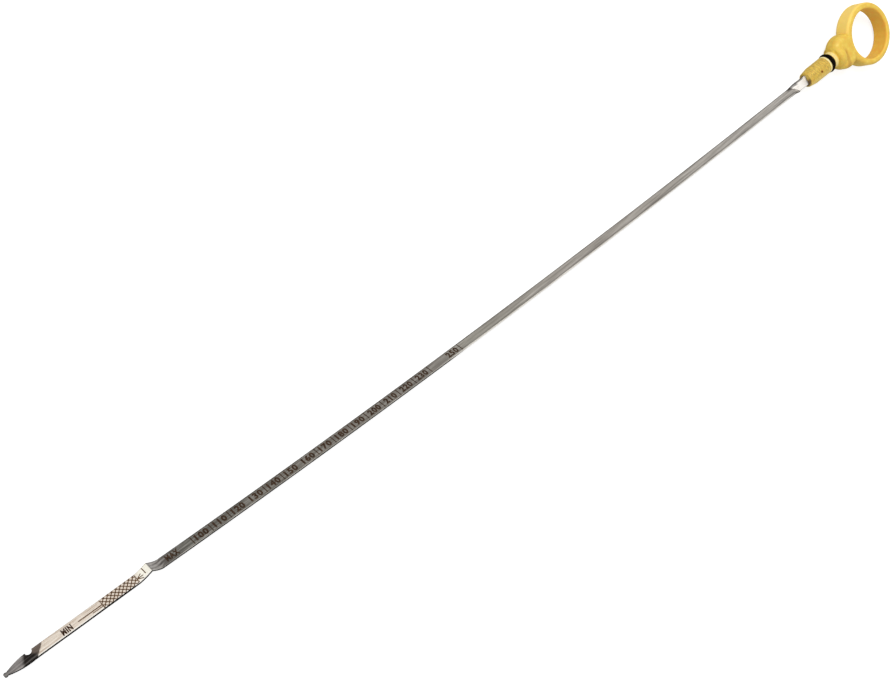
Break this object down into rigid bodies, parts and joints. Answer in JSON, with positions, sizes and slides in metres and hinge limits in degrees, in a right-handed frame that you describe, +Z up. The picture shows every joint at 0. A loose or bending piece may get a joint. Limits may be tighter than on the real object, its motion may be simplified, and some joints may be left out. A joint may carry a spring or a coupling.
{
  "type": "engine oil dipstick",
  "caption": "Engine oil dipstick: a long flat steel blade with a hatched measuring zone, held in a yellow ring handle with a rubber seal.",
  "frame": {"origin": "on the stick's axis, in the middle of the stopper's plain round land", "axes": "+X along the stick towards the tip; +Z up from the flat surface that it lies on; +Y completes the right-handed frame"},
  "size_m": [0.6022, 0.0372, 0.0148],
  "materials": {
    "steel": "satin",
    "yellow_plastic": "moulded, slightly worn",
    "black_rubber": "matte"
  },
  "bodies": {
    "root": {"blade": "steel", "handle": "yellow_plastic", "o_ring": "black_rubber"}
  },
  "joints": []
}
